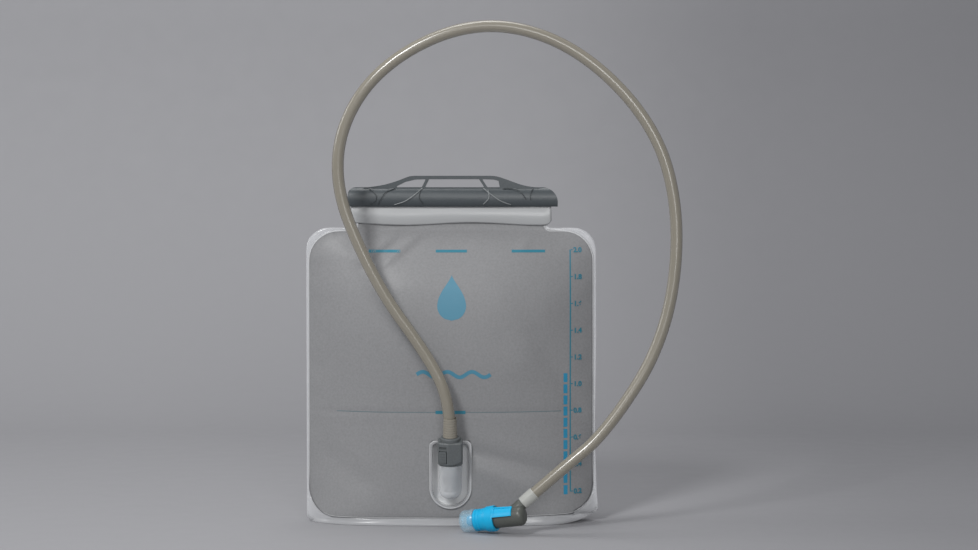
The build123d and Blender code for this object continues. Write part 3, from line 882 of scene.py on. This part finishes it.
wave = [(-27 + 59 * i / 60, 121.5 + 2.2 * math.sin(i / 60 * 6 * math.pi)) for i in range(61)]
ink("print_drop", [drop(1.0, 176.0, 23.0, 36.0)], ink_blue)
ink("print_wave", [ribbon(wave, 3.0)], ink_blue)
lines = [bar(x0, 218.5, x1, 220.7) for x0, x1 in ((-66, -40.5), (-12, 13), (49, 76))]
lines += [bar(-12, 89.7, 12, 92.3)]
ink("print_lines", lines, ink_teal)
ink("print_seam", [bar(-91.8, 90.75, 88.9, 91.25)], ink_faint)
scale_marks = [bar(95.8, 26, 96.8, 220.6)]
for k in range(10):
    z = SCALE_Z + k * SCALE_STEP
    scale_marks.append(bar(96.8, z - 0.35, 98.4, z + 0.35, 0.8))
ink("print_scale", scale_marks, ink_teal)
ink("print_dashes", [bar(90.8, 24 + 9 * k, 94.0, 31.2 + 9 * k) for k in range(11)], ink_bright)
for k in range(10):
    numeral_mesh(f"{0.2 * (k + 1):.1f}", 98.9, SCALE_Z + k * SCALE_STEP, 3.9)


# ---- stage

def cyclorama():
    """Floor that curves up into a wall, which is narrow enough to look past from behind."""
    profile = [(400, 0), (650, 0)]
    for k in range(1, 13):
        angle = math.pi / 2 * k / 12
        profile.append((650 + 500 * math.sin(angle), 500 - 500 * math.cos(angle)))
    profile.append((1150, 2600))
    points = [(x, y, z) for x in (-850, 900) for y, z in profile]
    faces = grid_faces(2, len(profile))
    base = len(points)
    points += [(-3500, -3000, 0), (3500, -3000, 0), (3500, 400, 0), (-3500, 400, 0)]
    faces.append((base, base + 1, base + 2, base + 3))
    return mesh_from("studio", points, faces)


# painted shade: floor and wall darken towards the right, away from the key light on the left
studio_grey_painted_shade = paint_light_gradient(
    material("studio_grey_painted_shade", (0.345, 0.345, 0.36), 0.7, grain=40.0), 0, (0.02, 0.42), (0.345, 0.345, 0.36),
    (0.272, 0.272, 0.287)
)
studio = link("studio", cyclorama(), studio_grey_painted_shade)


def area_light(name, place, target, size, power):
    """A soft box aimed at a point."""
    data = bpy.data.lights.new(name, "AREA")
    data.shape = "RECTANGLE"
    data.size, data.size_y = size
    data.energy = power
    obj = bpy.data.objects.new(name, data)
    scene.collection.objects.link(obj)
    obj.location = place
    aim = Vector(target) - Vector(place)
    obj.rotation_euler = aim.to_track_quat("-Z", "Y").to_euler()
    return obj


LIGHTS = [                 # name, place, target, size and power
    ("key_left", (-0.7, -1.55, 1.3), (0, 0, 0.15), (0.35, 0.4), 22),
    ("wall_left", (-1.9, 0.1, 1.0), (-0.6, 1.1, 0.5), (0.8, 0.8), 9),
    ("front", (0.3, -2.1, 0.75), (0, 0, 0.12), (0.7, 0.7), 10),
    ("top", (-0.1, 0.1, 1.7), (0, 0, 0.1), (1.0, 0.7), 10),
]
for light in LIGHTS:
    area_light(*light)
world = bpy.data.worlds.new("studio_world")
world.use_nodes = True
world.node_tree.nodes["Background"].inputs["Color"].default_value = (0.75, 0.76, 0.8, 1)
world.node_tree.nodes["Background"].inputs["Strength"].default_value = 0.27
scene.world = world
scene.view_settings.view_transform = "Standard"
